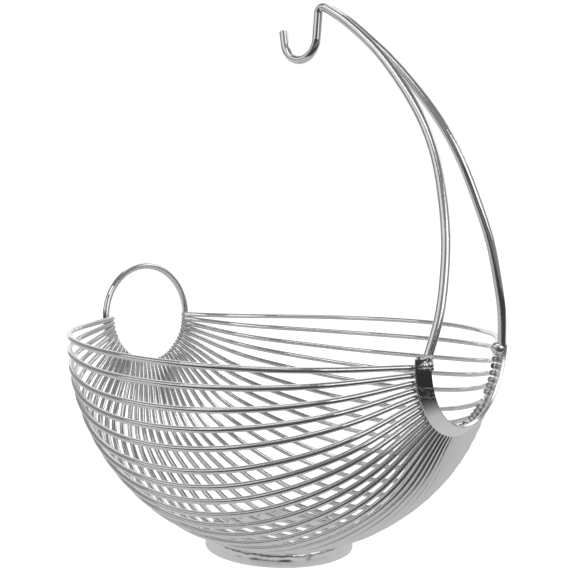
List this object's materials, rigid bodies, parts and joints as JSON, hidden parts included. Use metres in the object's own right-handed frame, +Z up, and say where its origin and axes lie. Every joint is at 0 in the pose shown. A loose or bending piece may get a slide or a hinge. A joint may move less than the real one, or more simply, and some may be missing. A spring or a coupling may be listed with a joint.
{
  "type": "fruit bowl with banana hanger",
  "caption": "Wire fruit bowl on a foot ring, with a handle hoop at one end and, at the other, a flared collar from which rods arch back over the bowl to a banana hook.",
  "frame": {"origin": "on the table, below the middle of the overall length from the hoop to the hanger", "axes": "+Z up from the table, +X from the handle hoop to the hanger, +Y from the front wires to the back wires"},
  "size_m": [0.2688, 0.2868, 0.3474],
  "materials": {
    "chrome": "bright polished"
  },
  "bodies": {
    "root": {"foot_ring": "chrome", "handle_hoop": "chrome", "loop_collar": "chrome", "hanger_rod_front": "chrome", "hanger_rod_back": "chrome", "wire_centre": "chrome", "wire_front_01": "chrome", "wire_front_02": "chrome", "wire_front_03": "chrome", "wire_front_04": "chrome", "wire_front_05": "chrome", "wire_front_06": "chrome", "wire_front_07": "chrome", "wire_front_08": "chrome", "wire_front_09": "chrome", "wire_front_10": "chrome", "wire_front_11": "chrome", "wire_front_12": "chrome", "wire_front_13": "chrome", "wire_front_14": "chrome", "wire_front_15": "chrome", "wire_front_16": "chrome", "wire_front_17": "chrome", "wire_back_01": "chrome", "wire_back_02": "chrome", "wire_back_03": "chrome", "wire_back_04": "chrome", "wire_back_05": "chrome", "wire_back_06": "chrome", "wire_back_07": "chrome", "wire_back_08": "chrome", "wire_back_09": "chrome", "wire_back_10": "chrome", "wire_back_11": "chrome", "wire_back_12": "chrome", "wire_back_13": "chrome", "wire_back_14": "chrome", "wire_back_15": "chrome", "wire_back_16": "chrome", "wire_back_17": "chrome"}
  },
  "joints": []
}
